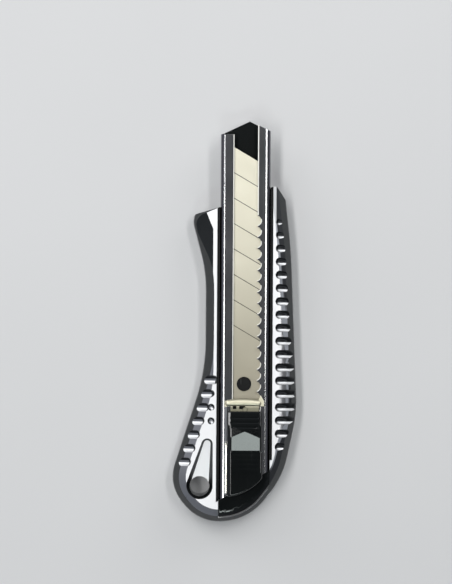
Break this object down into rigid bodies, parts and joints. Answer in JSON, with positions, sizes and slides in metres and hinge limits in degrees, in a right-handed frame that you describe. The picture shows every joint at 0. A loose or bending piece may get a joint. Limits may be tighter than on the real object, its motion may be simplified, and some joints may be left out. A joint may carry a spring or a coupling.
{
  "type": "utility knife",
  "caption": "Cast-handled utility knife: a snap-off blade runs in a folded steel channel, locked by a sprung thumb slide in notches, with a pull-off end cap and a lanyard hole.",
  "frame": {"origin": "on the flat back of the handle, behind the middle line of the blade channel", "axes": "+Y along the blade towards its tip, +Z out of the front with the thumb slide, +X to the right seen from the front"},
  "size_m": [0.0498, 0.1612, 0.02],
  "materials": {
    "cast_alloy": "satin",
    "folded_steel": "polished",
    "blade_steel": "satin",
    "lock_steel": "satin",
    "liner_plastic": "matte",
    "grip_plastic": "gloss",
    "holder_plastic": "matte",
    "screw_steel": "zinc plated"
  },
  "bodies": {
    "handle": {"handle_casting": "cast_alloy", "channel_liner": "liner_plastic", "blade_channel": "folded_steel", "channel_screws": "screw_steel"},
    "carriage": {"snap_off_blade": "blade_steel", "blade_holder": "holder_plastic", "guide_plate": "lock_steel", "carriage_rivets": "lock_steel", "press_spring": "lock_steel"},
    "thumb": {"thumb_slide": "grip_plastic", "lock_plate": "lock_steel"},
    "cap": {"end_cap": "grip_plastic"}
  },
  "joints": [
    {"name": "blade_slide", "type": "slide", "parent": "handle", "child": "carriage", "axis": [0, 1, 0], "range_m": [0, 0.07956]},
    {"name": "thumb_press", "type": "slide", "parent": "carriage", "child": "thumb", "axis": [0, 0, -1], "range_m": [0, 0.001], "stiffness_N_per_m": 900, "springref_m": -0.0006, "deforming": ["press_spring"]},
    {"name": "end_cap_pull", "type": "slide", "parent": "handle", "child": "cap", "axis": [0, -1, 0], "range_m": [0, 0.025]}
  ]
}
